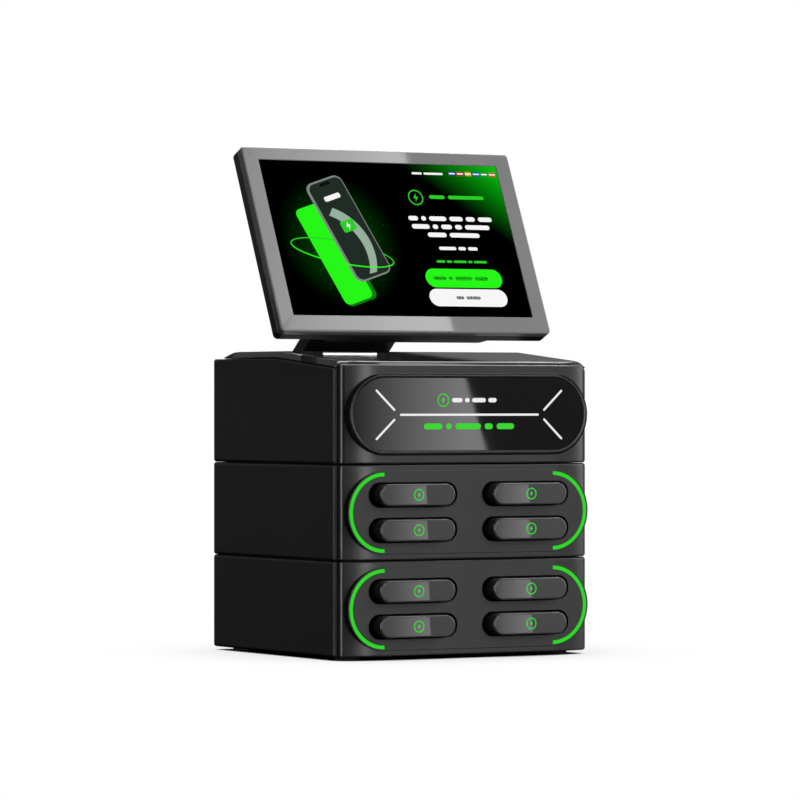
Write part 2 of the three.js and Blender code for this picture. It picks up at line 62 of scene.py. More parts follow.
def span(node):
    """Lowest and highest corner of a CAD node, in millimetres."""
    low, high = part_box(node)
    return low / MM, high / MM


# ---- Driving dimensions, in millimetres -----------------------------------------------------------------------
FRONT = span("lower_light_left")[0].y
REAR = span("lower_shell")[1].y
HALF = span("lower_shell")[1].x
PANEL_HALF = span("lower_front_panel")[1].x
WALL = 3.0
LIP, LIP_DEPTH = 7.5, 2.4
FLAT_HALF = 76.3
CURVE_RADIUS = 81.8
PANEL_SET = 0.4
PANEL_EDGE = 3.0
PANEL_BACK = 12.25
PAD_RADIUS = 32.2
PAD_DEPTH = 10.0
POCKET_DEPTH = 9.8
LIGHT_INNER, LIGHT_OUTER = 28.0, 30.7
SLOT_X, SLOT_ROW, SLOT_HALF, SLOT_RADIUS = 50.8, 13.6, 30.0, 9.5
BANK_HALF, BANK_RADIUS = 25.1, 8.5
REAR_CORNER = 8.0
LID_CREASE, LID_SLOPE, LID_TOP, LID_EDGE = FRONT + 103, 0.0876, 238.3, 232.8
LID_SHARP = 40  # degrees between faces that stay crisp on the lid
PANEL_TOP = span("control_front_panel")[1].z
GLASS_Z = 189.0
GLASS_RADIUS, RIM_RADIUS = 28.2, 30.3
TILT = math.radians(24.8)
FACE_Y, FACE_Z = FRONT + 77.8, 253.5
FACE_WIDTH, FACE_HEIGHT = 247.0, 162.1
SCREEN_HALF, SCREEN_LOW, SCREEN_HIGH = 109.7, 14.2, 150.6
COVER_DEPTH = 15.8
HOUSING_LOW, HOUSING_BACK = 2.4, 24.8
NOTCH_Y, NOTCH_DEPTH, NOTCH_HALF, NOTCH_RISE = FRONT + 60, 3.5, 4.3, 3.2
CONTACT_COUNT, CONTACT_PITCH, CONTACT_HALF, CONTACT_RISE = 4, 6, 1.8, 3
VENT_COUNT, VENT_X, VENT_PITCH, VENT_HALF, VENT_LOW, VENT_HIGH = 9, -70, 9, 1.6, 173, 203
GRILLE_COUNT, GRILLE_X, GRILLE_PITCH, GRILLE_Z = 16, -37.5, 5, 104


# ---- Mesh building --------------------------------------------------------------------------------------------
def linked(name, data):
    """A new object in the scene."""
    obj = bpy.data.objects.new(name, data)
    bpy.context.scene.collection.objects.link(obj)
    return obj


def new_object(name, verts, faces, sharp=30):
    """A mesh object from points in millimetres, smooth but for its sharp edges."""
    mesh = bpy.data.meshes.new(name)
    mesh.from_pydata([Vector(v) * MM for v in verts], [], faces)
    return finish_mesh(name, mesh, sharp)


def finish_mesh(name, mesh, sharp=30):
    """Merges, turns the faces out, marks sharp edges and links the object."""
    bm = bmesh.new()
    bm.from_mesh(mesh)
    bmesh.ops.remove_doubles(bm, verts=bm.verts, dist=1e-7)
    bmesh.ops.dissolve_degenerate(bm, edges=bm.edges, dist=1e-8)
    bmesh.ops.recalc_face_normals(bm, faces=bm.faces)
    bm.to_mesh(mesh)
    bm.free()
    mesh.shade_smooth()
    mesh.set_sharp_from_angle(angle=math.radians(sharp))
    return linked(name, mesh)


def apply_modifiers(obj):
    """Bakes an object's modifiers into its mesh."""
    bpy.context.view_layer.update()
    graph = bpy.context.evaluated_depsgraph_get()
    baked = bpy.data.meshes.new_from_object(obj.evaluated_get(graph))
    obj.modifiers.clear()
    obj.data = baked
    return obj


def flatten(obj, least):
    """Shades the faces over an area in square millimetres flat, so that they mirror without a bend."""
    for face in obj.data.polygons:
        if face.area > least * MM * MM:
            face.use_smooth = False
    return obj


def weighted(obj):
    """Keeps flats flat beside rounded edges."""
    modifier = obj.modifiers.new("weighted", "WEIGHTED_NORMAL")
    modifier.keep_sharp = True
    return apply_modifiers(obj)


def boolean(obj, other, operation="DIFFERENCE", sharp=30):
    """Cuts other out of obj, or joins it on."""
    modifier = obj.modifiers.new("cut", "BOOLEAN")
    modifier.operation = operation
    modifier.solver = "EXACT"
    modifier.object = other
    apply_modifiers(obj)
    bpy.data.objects.remove(other)
    obj.data.shade_smooth()
    obj.data.set_sharp_from_angle(angle=math.radians(sharp))
    return obj


def side_faces(rings, closed=False):
    """Quads between successive rings of points, and from the last ring to the first one if they close."""
    count, levels = len(rings[0]), len(rings)
    faces = []
    for level in range(levels if closed else levels - 1):
        a, b = level * count, (level + 1) % levels * count
        faces += [(a + i, a + (i + 1) % count, b + (i + 1) % count, b + i) for i in range(count)]
    return faces


def points_of(rings):
    return [point for ring in rings for point in ring]


def skin(name, rings, closed=False):
    """A solid through successive rings of points; the end rings are capped unless the rings close on themselves."""
    verts, faces = points_of(rings), side_faces(rings, closed)
    if not closed:
        count = len(rings[0])
        faces.append(tuple(range(count))[::-1])
        faces.append(tuple(range(len(verts) - count, len(verts))))
    return new_object(name, verts, faces)


def arc(u, v, radius, start, end, steps):
    """Points on an arc, angles in degrees."""
    angles = [math.radians(start + (end - start) * i / steps) for i in range(steps + 1)]
    return [(u + radius * math.cos(a), v + radius * math.sin(a)) for a in angles]


def rounded_rect(u0, u1, v0, v1, r):
    """Outline of a rounded rectangle."""
    steps = 5
    return (
        arc(u1 - r, v0 + r, r, -90, 0, steps)
        + arc(u1 - r, v1 - r, r, 0, 90, steps)
        + arc(u0 + r, v1 - r, r, 90, 180, steps)
        + arc(u0 + r, v0 + r, r, 180, 270, steps)
    )


def stadium(u, v, half, radius, steps=24):
    """Outline of a stadium that lies along u."""
    return arc(u + half, v, radius, -90, 90, steps) + arc(u - half, v, radius, 90, 270, steps)


def rounding(depth, radius, steps=4):
    """(inset, depth) pairs that round an edge from its face, at depth, inwards along the body."""
    angles = [math.radians(90 * i / steps) for i in range(steps + 1)]
    return [(radius * (1 - math.sin(a)), depth + radius * (1 - math.cos(a))) for a in angles]


def upright(outline, y):
    """An outline of (x, z) points at a depth."""
    return [(x, y, z) for x, z in outline]


def stadium_rod(name, u, v, half, radius, front, back, edge=0.6, back_edge=0.3, steps=24):
    """A stadium bar along Y with rounded ends."""
    levels = rounding(front, edge) + [(i, 2 * back - d) for i, d in rounding(back, back_edge)[::-1]]
    return skin(name, [upright(stadium(u, v, half, radius - i, steps), y) for i, y in levels])


def box_piece(name, low, high, edge):
    """A block between two corners with rounded edges."""
    mesh = bpy.data.meshes.new(name)
    bm = bmesh.new()
    centre = (Vector(low) + Vector(high)) / 2 * MM
    size = (Vector(high) - Vector(low)) * MM
    bmesh.ops.create_cube(bm, size=1, matrix=Matrix.Translation(centre) @ Matrix.Diagonal((*size, 1)))
    if edge:
        bmesh.ops.bevel(bm, geom=bm.edges[:], offset=edge * MM, segments=2, profile=0.5, affect="EDGES")
    bm.to_mesh(mesh)
    bm.free()
    return finish_mesh(name, mesh)


def bevelled(node, width):
    """A fine copy of a CAD node whose hard edges are rounded."""
    bm = bmesh.new()
    bm.from_mesh(NODES[node].data)
    bmesh.ops.remove_doubles(bm, verts=bm.verts, dist=1e-6)
    bmesh.ops.dissolve_limit(bm, angle_limit=math.radians(1), verts=bm.verts, edges=bm.edges)
    edges = [e for e in bm.edges if e.is_manifold and e.calc_face_angle(0) > math.radians(28)]
    bmesh.ops.bevel(
        bm, geom=edges, offset=width * MM, offset_type="OFFSET", segments=3,
        profile=0.5, affect="EDGES", clamp_overlap=True,
    )
    mesh = bpy.data.meshes.new(node + "_fine")
    bm.to_mesh(mesh)
    bm.free()
    return weighted(finish_mesh(node + "_fine", mesh, 35))


def piece(obj, body, material, slot=None, *nodes):
    """Gives a piece its finish and its body, and hides the CAD nodes that it stands for."""
    obj.data.materials.clear()
    obj.data.materials.append(material)
    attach(obj, body)
    if nodes:
        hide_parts(*nodes)
    return obj


# ---- Materials ------------------------------------------------------------------------------------------------
def map_range(tree, value, low, high, to_low, to_high):
    """Carries low to high over to to_low to to_high."""
    node = tree.nodes.new("ShaderNodeMapRange")
    for socket, number in (("From Min", low), ("From Max", high), ("To Min", to_low), ("To Max", to_high)):
        node.inputs[socket].default_value = number
    tree.links.new(value, node.inputs["Value"])
    return node.outputs["Result"]


class Finish:
    """A Principled material with its own noise, built socket by socket."""

    def __init__(self, name, colour, roughness, **sockets):
        self.material = bpy.data.materials.new(name)
        self.material.use_nodes = True
        self.tree = self.material.node_tree
        self.shader = self.tree.nodes["Principled BSDF"]
        self.shader.inputs["Base Color"].default_value = (*colour, 1)
        self.shader.inputs["Roughness"].default_value = roughness
        for socket, value in sockets.items():
            self.shader.inputs[socket.replace("_", " ")].default_value = value
        self.place = self.tree.nodes.new("ShaderNodeTexCoord").outputs["Object"]

    def noise(self, scale, detail=3.0):
        node = self.tree.nodes.new("ShaderNodeTexNoise")
        node.inputs["Scale"].default_value = scale
        node.inputs["Detail"].default_value = detail
        node.inputs["Roughness"].default_value = 0.5
        self.tree.links.new(self.place, node.inputs["Vector"])
        return node.outputs["Fac"]

    def map_range(self, value, *limits):
        return map_range(self.tree, value, *limits)

    def bump(self, height, distance, strength=1.0):
        """Adds a height in metres to the surface; calls stack."""
        node = self.tree.nodes.new("ShaderNodeBump")
        node.inputs["Distance"].default_value = distance
        node.inputs["Strength"].default_value = strength
        self.tree.links.new(height, node.inputs["Height"])
        before = self.shader.inputs["Normal"].links
        if before:
            self.tree.links.new(before[0].from_socket, node.inputs["Normal"])
        self.tree.links.new(node.outputs["Normal"], self.shader.inputs["Normal"])

    def vary_roughness(self, scale, low, high):
        self.tree.links.new(self.map_range(self.noise(scale), 0.3, 0.7, low, high), self.shader.inputs["Roughness"])

    def vary_colour(self, scale, dark, light, low=0.35, high=0.65):
        ramp = self.tree.nodes.new("ShaderNodeValToRGB")
        ramp.color_ramp.elements[0].color = (*dark, 1)
        ramp.color_ramp.elements[1].color = (*light, 1)
        ramp.color_ramp.elements[0].position = low
        ramp.color_ramp.elements[1].position = high
        self.tree.links.new(self.noise(scale), ramp.inputs["Fac"])
        self.tree.links.new(ramp.outputs["Color"], self.shader.inputs["Base Color"])


def grey(value, tint=0.0):
    return (value, value, value * (1 + tint))


def moulded(name, value, roughness, grain=2600, **sockets):
    """Spark-textured moulded plastic."""
    made = Finish(name, grey(value), roughness, **sockets)
    made.vary_roughness(14, roughness - 0.04, roughness + 0.05)
    made.vary_colour(9, grey(value * 0.93), grey(value * 1.07))
    made.bump(made.noise(grain, 2), 0.00003, 0.5)
    return made.material


def painted(name, value, roughness):
    """Sprayed plastic: a faint orange peel and slow changes of gloss."""
    made = Finish(name, grey(value), roughness)
    made.vary_roughness(11, roughness - 0.03, roughness + 0.03)
    made.vary_colour(7, grey(value * 0.96), grey(value * 1.04))
    made.bump(made.noise(420, 2), 0.000012, 0.35)
    return made.material


def polished(name, value, roughness=0.018):
    """A polished face: a hair of haze that comes and goes, and slow changes of tone."""
    made = Finish(name, grey(value), roughness)
    made.vary_roughness(30, roughness * 0.7, roughness * 1.5)
    made.vary_colour(8, grey(value * 0.96), grey(value * 1.04))
    made.bump(made.noise(240, 1), 0.0000004, 0.2)
    return made.material


def glow(name, colour):
    """A lit surface: the colour is what it sends out."""
    made = Finish(name, (0, 0, 0), 0.6, Specular_IOR_Level=0.0)
    made.shader.inputs["Emission Color"].default_value = (*colour, 1)
    made.shader.inputs["Emission Strength"].default_value = 1.0
    return made.material


def linear(red, green, blue):
    """A display colour, 0 to 255, as scene light."""
    return tuple(((c / 255 + 0.055) / 1.055) ** 2.4 if c > 10 else c / 255 / 12.92 for c in (red, green, blue))


def board_finish():
    """Solder mask with a faint track pattern."""
    made = Finish("solder_mask", (0.008, 0.10, 0.035), 0.4)
    made.vary_colour(180, (0.006, 0.075, 0.028), (0.012, 0.15, 0.05), 0.45, 0.55)
    made.bump(made.noise(180), 0.00005, 0.4)
    return made.material


def metal_finish(name, value, roughness):
    made = Finish(name, grey(value, 0.02), roughness, Metallic=1.0)
    made.vary_roughness(60, roughness - 0.06, roughness + 0.08)
    made.bump(made.noise(900), 0.00001, 0.4)
    return made.material


HOUSING = moulded("housing_plastic", 0.020, 0.42, Specular_IOR_Level=0.42)
PANEL = painted("front_panel_paint", 0.030, 0.30)
LID_PAINT = polished("lid_gloss_paint", 0.030, 0.04)
RIM_METAL = metal_finish("rim_aluminium", 0.10, 0.4)
STATUS = polished("status_acrylic", 0.006)
BEZEL = polished("bezel_paint", 0.20)
BANK_CAP = polished("bank_gloss", 0.070)
BANK_BODY = moulded("bank_sleeve", 0.03, 0.5)
BLACK = moulded("black_plastic", 0.003, 0.7, Specular_IOR_Level=0.12)
RUBBER = moulded("foot_rubber", 0.012, 0.8, grain=1200)
BOARD = board_finish()
STEEL = metal_finish("zinc_steel", 0.5, 0.35)
BRASS = metal_finish("contact_gold", 0.6, 0.3)
GREEN_LIGHT = glow("green_light", linear(50, 213, 43))
WHITE_PRINT = glow("white_print", linear(238, 238, 238))
GREEN_PRINT = glow("green_print", linear(62, 214, 55))


# ---- Housings -------------------------------------------------------------------------------------------------
def shell(name, low, top):
    """A housing that is open at the front, with rounded edges and rounded rear corners; top gives its height at y."""
    edge = 2.2
    front = span(name)[0].y
    inner_half, inner_back = HALF - WALL, REAR - WALL

    def ring(y, half, bottom, roof, radius):
        return upright(rounded_rect(-half, half, bottom, roof, radius), y)

    rings = [
        ring(inner_back, inner_half, low + WALL, top(inner_back) - WALL, 1),
        ring(LID_CREASE, inner_half, low + WALL, top(LID_CREASE) - WALL, 1),
        ring(front + LIP_DEPTH + 0.1, inner_half, low + WALL, top(front) - WALL, 1),
        ring(front + LIP_DEPTH, HALF - LIP, low + LIP, top(front) - LIP, 1),
        ring(front, HALF - LIP, low + LIP, top(front) - LIP, 1),
    ]
    for inset, y in rounding(front, 1.3):
        rings.append(ring(y, HALF - inset, low + inset, top(y) - inset, edge))
    rings.append(ring(LID_CREASE, HALF, low, top(LID_CREASE), edge))
    steps = 10
    for i in range(steps + 1):
        angle = math.radians(90 * i / steps)
        y = REAR - REAR_CORNER * (1 - math.sin(angle))
        inset = REAR_CORNER * (1 - math.cos(angle))
        near = max(0.0, y - (REAR - edge))
        lift = edge - math.sqrt(max(edge**2 - near**2, 0))
        rings.append(ring(y, HALF - inset, low + lift, top(y) - lift, edge))
    return skin(name + "_fine", rings)


def battery_shell(name):
    low, high = (p.z for p in span(name + "_shell"))
    obj = weighted(shell(name + "_shell", low, lambda y: high))
    piece(obj, "kiosk", HOUSING, "housing", name + "_shell")


def recede(x):
    past = max(0.0, abs(x) - FLAT_HALF)
    return CURVE_RADIUS - math.sqrt(CURVE_RADIUS**2 - past**2)


def front_line(inset, depth):
    """Plan outline of the curved plate: its front face from left to right with rounded ends, then its back."""
    half = PANEL_HALF - inset
    last = half - PANEL_EDGE
    right = []
    for i in range(15):
        x = FLAT_HALF + (last - FLAT_HALF) * i / 14
        right.append((x, FRONT + PANEL_SET + depth + recede(x)))
    start = right[-1][1]
    for i in range(1, 7):
        angle = math.radians(15 * i)
        fall = 0.9 * math.sin(angle) + PANEL_EDGE * (1 - math.cos(angle))
        right.append((last + PANEL_EDGE * math.sin(angle), start + fall))
    outer = [(-x, y) for x, y in reversed(right)] + right
    back = FRONT + PANEL_BACK
    return outer + [(x, back) for x, _ in reversed(outer)]


def curved_plate(name, low, high):
    """The curved plate, with its top and bottom edges rounded towards the front."""
    edge, steps = 1.3, 5
    rings = []
    for end, sign in ((low, 1), (high, -1)):
        angles = [math.radians(90 * i / steps) for i in range(steps + 1)][::sign]
        for angle in angles:
            inset = edge * (1 - math.sin(angle))
            z = end + sign * edge * (1 - math.cos(angle))
            rings.append([(x, y, z) for x, y in front_line(inset * 0.4, inset)])
    return skin(name, rings)


def paint_pad_shade(obj, centre_z, inner, outer, top):
    """Painted shade: makes the faces round a pad's edge black, up to a height above its centre, where shade falls on
    the pad's side wall and under the status glass rim.
    """
    obj.data.materials.append(BLACK)
    for face in obj.data.polygons:
        x, z = max(0.0, abs(face.center.x) / MM - FLAT_HALF), face.center.z / MM - centre_z
        wall = abs(face.normal.y) < 0.5 and x > 0
        in_band = inner < math.hypot(x, z) < outer and z < top and face.center.y / MM < FRONT + POCKET_DEPTH + 0.1
        if in_band and (wall or inner < PAD_RADIUS - 1):
            face.material_index = 1


def filled_outline(name, outlines, front, back, edge, resolution=4):
    """A plate between two depths from (x, z) outlines, the first one outside and the others holes,
    with every edge rounded."""
    curve = bpy.data.curves.new(name, "CURVE")
    curve.dimensions = "2D"
    curve.fill_mode = "BOTH"
    for outline in outlines:
        spline = curve.splines.new("POLY")
        spline.points.add(len(outline) - 1)
        for point, (x, z) in zip(spline.points, outline):
            point.co = (x * MM, z * MM, 0, 1)
        spline.use_cyclic_u = True
    curve.bevel_depth = edge * MM
    curve.bevel_resolution = resolution
    curve.offset = -edge * MM
    curve.extrude = ((back - front) / 2 - edge) * MM
    holder = linked(name, curve)
    bpy.context.view_layer.update()
    mesh = bpy.data.meshes.new_from_object(holder)
    bpy.data.objects.remove(holder)
    middle = (front + back) / 2 * MM
    mesh.transform(Matrix.Translation((0, middle, 0)) @ Matrix.Rotation(math.radians(90), 4, "X"))
    return finish_mesh(name, mesh)


def half_ring(side, z, inner, outer, steps=40):
    """Outline of a half ring about a pad's arc centre."""
    points = arc(FLAT_HALF, z, outer, -90, 90, steps) + arc(FLAT_HALF, z, inner, 90, -90, steps)
    return [(side * x, v) for x, v in points]


def front_cutter(outline, back=15):
    """A bar that cuts an (x, z) outline through the front plate."""
    return skin("cutter", [upright(outline, y) for y in (FRONT - 5, FRONT + back)])


def slot_places(name):
    """Height of a battery module's middle, and the centre of each slot."""
    low, high = span(name + "_shell")
    middle = (low.z + high.z) / 2
    return middle, [(sx * SLOT_X, middle + sz * SLOT_ROW) for sx in (-1, 1) for sz in (-1, 1)]


def battery_front(name):
    middle, slots = slot_places(name)
    low, high = (p.z for p in span(name + "_front_panel"))
    plate = curved_plate(name + "_plate", low, high)
    for x, z in slots:
        boolean(plate, front_cutter(stadium(x, z, SLOT_HALF, SLOT_RADIUS + 1.2)))
    for side in (-1, 1):
        boolean(plate, front_cutter(half_ring(side, middle, LIGHT_INNER - 0.6, LIGHT_OUTER + 0.6)))
    outlines = [stadium(0, middle, FLAT_HALF, PAD_RADIUS, 64)]
    outlines += [stadium(x, z, SLOT_HALF, SLOT_RADIUS) for x, z in slots]
    outlines += [half_ring(side, middle, LIGHT_INNER - 0.12, LIGHT_OUTER + 0.12) for side in (-1, 1)]
    pad = filled_outline(name + "_pad", outlines, FRONT - 0.02, FRONT + PAD_DEPTH, 0.45)
    panel = boolean(plate, pad, "UNION")
    panel.name = name + "_front_panel_fine"
    panel = piece(weighted(panel), "kiosk", PANEL, "front_panel", name + "_front_panel")
    # Painted shade: the pad's side walls round its ends are made black.
    paint_pad_shade(panel, middle, PAD_RADIUS - 0.4, PAD_RADIUS + 0.2, PAD_RADIUS)


def light_arcs(name):
    middle, _ = slot_places(name)
    for label, side in (("left", -1), ("right", 1)):
        outline = half_ring(side, middle, LIGHT_INNER, LIGHT_OUTER, 48)
        strip = filled_outline(f"{name}_light_{label}_fine", [outline], FRONT, FRONT + 3, 0.25, 2)
        piece(strip, "kiosk", GREEN_LIGHT, "light_guide", f"{name}_light_{label}")


# ---- Power banks ----------------------------------------------------------------------------------------------
CROWN = 1.1  # how far a bank's end face falls back towards its round ends


def bank_ring(x, z, inset, depth, nose, crown):
    """A stadium outline whose top and bottom points pair up, so that the end face can curve across x."""
    radius = BANK_RADIUS - inset
    top = [(BANK_HALF + radius * math.cos(a), radius * math.sin(a)) for a in (math.pi / 2 * i / 12 for i in range(13))]
    straight = [(BANK_HALF * (1 - i / 8), radius) for i in range(1, 9)]
    right = top + straight
    across = right + [(-u, v) for u, v in reversed(right[:-1])]
    reach = BANK_HALF + BANK_RADIUS
    points = [(u, v) for u, v in across] + [(u, -v) for u, v in reversed(across[1:-1])]
    return [(x + u, nose + depth + crown * (u / reach) ** 2, z + v) for u, v in points]


def bank_solid(name, x, z, levels, nose, crown_at):
    """A bank section through (inset, depth) levels; crown_at gives each level's share of the crown."""
    rings = [bank_ring(x, z, inset, depth, nose, CROWN * crown_at(depth)) for inset, depth in levels]
    count = len(rings[0])
    faces = side_faces(rings)
    for base in (0, (len(rings) - 1) * count):
        for i in range(count // 2):
            quad = [base + i, base + i + 1, base + (count - i - 1) % count, base + (count - i) % count]
            faces.append(tuple(dict.fromkeys(quad)))
    return new_object(name, points_of(rings), faces)


def power_bank(number):
    body = f"power_bank_{number}"
    low, high = span(body)
    x = math.copysign(SLOT_X, low.x + high.x)
    z = (low.z + high.z) / 2
    nose = low.y
    cap_levels = rounding(0.12, 1.5, 6) + [(0, 11.6), (0.35, 12.0), (0.35, 12.5)]
    cap = bank_solid(f"bank_cap_{number}", x, z, cap_levels, nose, lambda d: max(0.0, 1 - d / 11))
    piece(weighted(cap), body, BANK_CAP, "bank")
    length = high.y - nose
    sleeve_levels = [(0.35, 12.5), (0.0, 12.9), (0, length - 1.2), (0.4, length - 0.4), (1.2, length)]
    sleeve = bank_solid(f"bank_sleeve_{number}", x, z, sleeve_levels, nose, lambda d: 0)
    side = math.copysign(1, x)
    flank = side * (SLOT_X + BANK_HALF + BANK_RADIUS)
    near, far = sorted((flank - side * NOTCH_DEPTH, flank + side))
    notch_low = (near, NOTCH_Y - NOTCH_HALF, z - NOTCH_RISE)
    notch_high = (far, NOTCH_Y + NOTCH_HALF, z + NOTCH_RISE)
    boolean(sleeve, box_piece("notch", notch_low, notch_high, 0))
    piece(weighted(sleeve), body, BANK_BODY, "bank", body)
    for i in range(CONTACT_COUNT):
        pad_x = x + CONTACT_PITCH * (i - (CONTACT_COUNT - 1) / 2)
        pad_low = (pad_x - CONTACT_HALF, length + nose - 0.5, z - CONTACT_RISE)
        pad_high = (pad_x + CONTACT_HALF, length + nose, z + CONTACT_RISE)
        piece(box_piece(f"bank_contact_{number}_{i + 1}", pad_low, pad_high, 0.1), body, BRASS)
    charge_icon(f"bank_{number}", body, x, nose + 0.07, z, 4.6)


def ring_outlines(x, z, radius, width):
    """Outer and inner outline of a flat ring."""
    return [arc(x, z, r, 0, 351, 39) for r in (radius, radius - width)]


def bolt_outline(x, z, size):
    """A plain lightning bolt."""
    points = [(0.16, 1.0), (-0.62, -0.16), (-0.08, -0.16), (-0.2, -1.0), (0.6, 0.2), (0.04, 0.2)]
    return [(x + u * size, z + v * size) for u, v in points]


def charge_icon(label, body, x, y, z, radius):
    """A ring with a lightning bolt in it, printed on a face."""
    rim = filled_outline(f"{label}_icon_ring", ring_outlines(x, z, radius, 0.85), y, y + 0.12, 0.02, 0)
    piece(rim, body, GREEN_PRINT)
    bolt = filled_outline(f"{label}_icon_bolt", [bolt_outline(x, z, radius * 0.56)], y, y + 0.12, 0.02, 0)
    piece(bolt, body, GREEN_PRINT)


# ---- Control module -------------------------------------------------------------------------------------------
def shell_top(y):
    return LID_EDGE - LID_SLOPE * max(0.0, LID_CREASE - y)


def lid_top(y):
    return LID_TOP - LID_SLOPE * max(0.0, LID_CREASE - y)


def control_shell():
    low = span("control_shell")[0].z
    obj = shell("control_shell", low, shell_top)
    for index in range(VENT_COUNT):
        x = VENT_X + VENT_PITCH * index
        boolean(obj, box_piece("vent", (x - VENT_HALF, REAR - 10, VENT_LOW), (x + VENT_HALF, REAR + 5, VENT_HIGH), 0))
    for node in ("power_inlet", "switch_frame"):
        low_corner, high_corner = span(node)
        grow = Vector((0.3, 0, 0.3))
        cutter = box_piece("cutter", low_corner - grow, high_corner + grow + Vector((0, 5, 0)), 0)
        boolean(obj, cutter)
    piece(weighted(obj), "kiosk", HOUSING, "housing", "control_shell")
    for node in ("power_inlet", "switch_frame"):
        piece(bevelled(node, 0.4), "kiosk", BLACK, "black_plastic", node)
    piece(bevelled("switch_rocker", 0.4), "rocker", BLACK, "black_plastic", "switch_rocker")


def control_front():
    low = span("control_front_panel")[0].z
    plate = curved_plate("control_plate", low, PANEL_TOP)
    boolean(plate, front_cutter(stadium(0, GLASS_Z, FLAT_HALF, RIM_RADIUS + 0.9, 48), 20))
    oval = lambda radius: stadium(0, GLASS_Z, FLAT_HALF, radius, 64)
    wall = [oval(RIM_RADIUS + 1.4), oval(RIM_RADIUS + 0.2)]
    pad = filled_outline("control_pad", wall, FRONT - 0.02, FRONT + PAD_DEPTH, 0.3)
    pocket = skin("pocket", [upright(oval(RIM_RADIUS + 0.9), y) for y in (FRONT + 2.4, FRONT + POCKET_DEPTH)])
    panel = boolean(boolean(plate, pad, "UNION"), pocket, "UNION")
    panel.name = "control_front_panel_fine"
    panel = piece(weighted(panel), "kiosk", PANEL, "front_panel", "control_front_panel")
    # Painted shadow: the ring round the glass rim is made black below its top.
    paint_pad_shade(panel, GLASS_Z, RIM_RADIUS + 0.1, RIM_RADIUS + 1.6, RIM_RADIUS)

    rim_levels = [(RIM_RADIUS, FRONT + 2)]
    rim_levels += [(RIM_RADIUS - i, d) for i, d in reversed(rounding(FRONT - 0.6, 0.5))]
    rim_levels += [(GLASS_RADIUS + r, FRONT + y) for r, y in ((0.7, -0.5), (0.1, -0.1), (0.1, 2))]
    rim = skin("glass_rim_fine", [upright(oval(radius), y) for radius, y in rim_levels], closed=True)
    piece(weighted(rim), "kiosk", RIM_METAL, "rim", "glass_rim")

    glass = stadium_rod(
        "status_glass_fine", 0, GLASS_Z, FLAT_HALF, GLASS_RADIUS, FRONT - 0.2, FRONT + 1.9, 0.25, 0.1, 64
    )
    piece(weighted(glass), "kiosk", STATUS, "status_glass", "status_glass")
    status_marks()


def stroke(start, end, width):
    """Outline of a straight stroke with round ends."""
    (x0, z0), (x1, z1) = start, end
    along = math.degrees(math.atan2(z1 - z0, x1 - x0))
    return arc(x1, z1, width / 2, along - 90, along + 90, 6) + arc(x0, z0, width / 2, along + 90, along + 270, 6)


def status_marks():
    """Printed strokes on the status glass, an icon, and plain bars where the lettering would be."""
    y = FRONT - 0.26
    centre = GLASS_Z - 0.4
    strokes = [((-62, centre), (62, centre))]
    for sx in (-1, 1):
        for sz in (-1, 1):
            strokes.append(((sx * 67.8, centre + sz * 3.8), (sx * 83.6, centre + sz * 18.6)))
    for number, (start, end) in enumerate(strokes, 1):
        line = filled_outline(f"status_stroke_{number}", [stroke(start, end, 1.7)], y, y + 0.1, 0.02, 0)
        piece(line, "kiosk", WHITE_PRINT)
    charge_icon("status", "kiosk", -24, y, 199.9, 5.2)
    bars("status_title", "kiosk", WHITE_PRINT, -16.2, 199.9, 3.4, (9.5, 4.2, 12.5, 7.6), 2.2, y)
    bars("status_call", "kiosk", GREEN_PRINT, -41.4, 179.6, 4.6, (16.5, 5.0, 23.0, 7.5, 16.0), 3.4, y)


def bars(label, body, material, x, z, height, widths, gap, y, place=None):
    """A row of plain rounded bars, one for each word."""
    for number, width in enumerate(widths, 1):
        outline = stroke((x + height / 2, z), (x + width - height / 2, z), height)
        bar = filled_outline(f"{label}_bar_{number}", [outline], y, y + 0.1, 0.02, 0)
        if place:
            bar.data.transform(place)
        piece(bar, body, material)
        x += width + gap


def lid():
    """Lid plate: a rounded bevel from the shell's edge up to a top that is flat behind and slopes in front."""
    def outline(inset, front_corner, rear_corner):
        half = HALF - inset
        shoulder = max(half - front_corner, FLAT_HALF + 1)
        across = [FLAT_HALF + (shoulder - FLAT_HALF) * i / 8 for i in range(9)]
        points = [(x, FRONT + 3.2 + inset * 0.55 + recede(x) * 0.9) for x in across]
        start = points[-1]
        side = start[1] + front_corner
        for i in range(1, 9):
            angle = math.radians(90 * i / 8)
            points.append((start[0] + (half - start[0]) * math.sin(angle), side - (side - start[1]) * math.cos(angle)))
        points.append((half, LID_CREASE))
        points += arc(half - rear_corner, REAR - inset - rear_corner, rear_corner, 0, 90, 8)
        return points

    def ring(points, height):
        full = points + [(-x, y) for x, y in reversed(points)]
        return [(x, y, height(y)) for x, y in full]

    low_line = lambda y: shell_top(y) + 0.3
    levels = [
        ring(outline(1.2, 2, 28), low_line),
        ring(outline(0.5, 2, 28), lambda y: low_line(y) + 0.5),
        ring(outline(0.9, 4, 28.5), lambda y: low_line(y) + 1.0),
        ring(outline(3.4, 8, 34), lambda y: lid_top(y) - 1.4),
        ring(outline(4.0, 10, 35), lambda y: lid_top(y) - 0.85),
        ring(outline(4.8, 12, 36), lambda y: lid_top(y) - 0.38),
        ring(outline(5.8, 13.5, 37), lambda y: lid_top(y) - 0.1),
        ring(outline(6.9, 15, 38), lid_top),
    ]
    count = len(levels[0])
    faces = side_faces(levels)
    for base in (0, (len(levels) - 1) * count):
        for i in range(count // 2 - 1):
            j = count - 1 - i
            faces.append((base + i, base + i + 1, base + j - 1, base + j))
    obj = new_object("lid_fine", points_of(levels), faces, LID_SHARP)
    relief = box_piece("relief", (-PANEL_HALF - 1, FRONT - 5, 200), (PANEL_HALF + 1, FRONT + 13, PANEL_TOP + 0.3), 0)
    boolean(obj, relief, sharp=LID_SHARP)
    piece(weighted(flatten(obj, 3000)), "kiosk", LID_PAINT, "lid", "lid")


